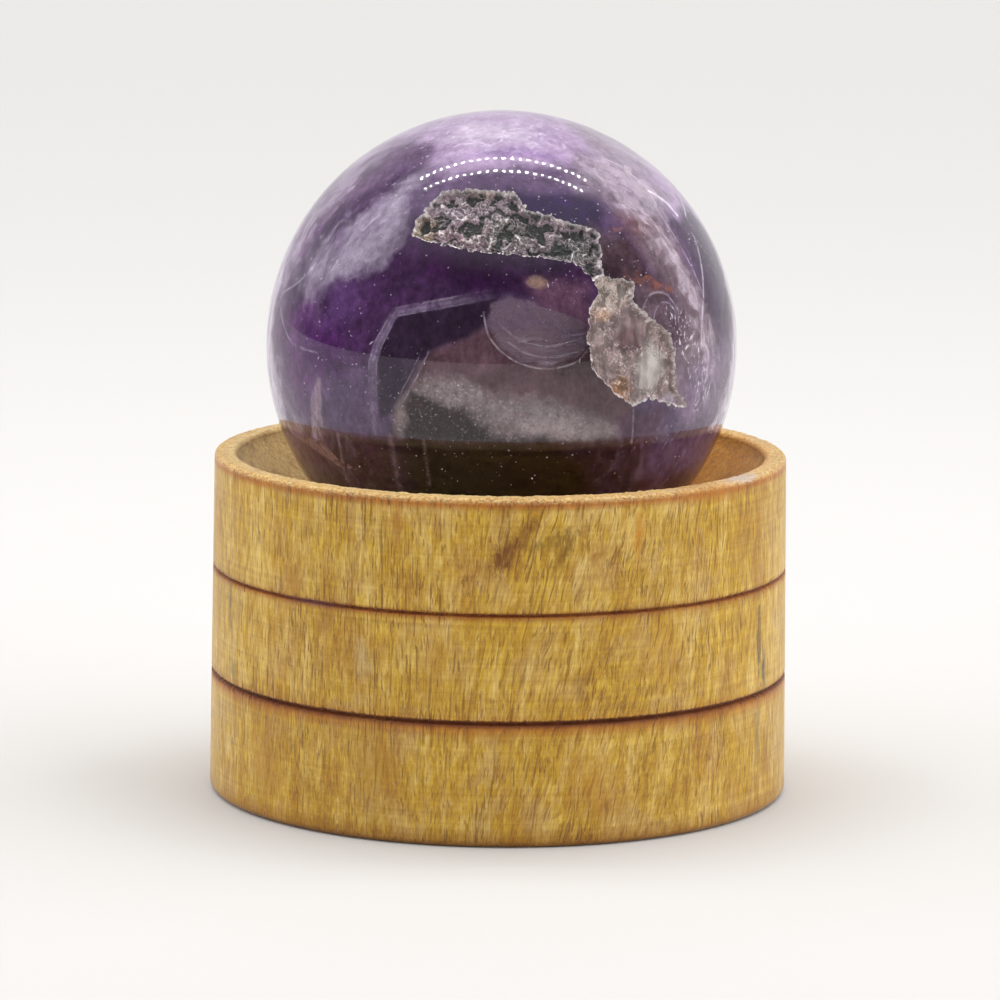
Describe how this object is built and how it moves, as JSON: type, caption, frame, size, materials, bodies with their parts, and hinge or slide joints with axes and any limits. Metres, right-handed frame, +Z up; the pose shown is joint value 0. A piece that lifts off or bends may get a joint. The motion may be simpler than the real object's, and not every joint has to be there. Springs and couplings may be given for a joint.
{
  "type": "decorative crystal sphere on a stand",
  "caption": "Polished amethyst ball with natural unpolished hollows, resting loose in the shallow dish of a turned wooden drum stand with grooves cut round its side.",
  "frame": {"origin": "centre of the stand's flat underside", "axes": "+Z up, through the centre of the ball; -Y is the front, the side of the ball with the hollows"},
  "size_m": [0.0618, 0.0618, 0.0725],
  "materials": {
    "amethyst": "polished quartz, clear purple to milky lilac, with rough grey druse in its hollows",
    "wood": "turned and lightly sanded pale hardwood, matt, with darker burnished grooves"
  },
  "bodies": {
    "root": {"amethyst_sphere": "amethyst", "wooden_stand": "wood"}
  },
  "joints": []
}
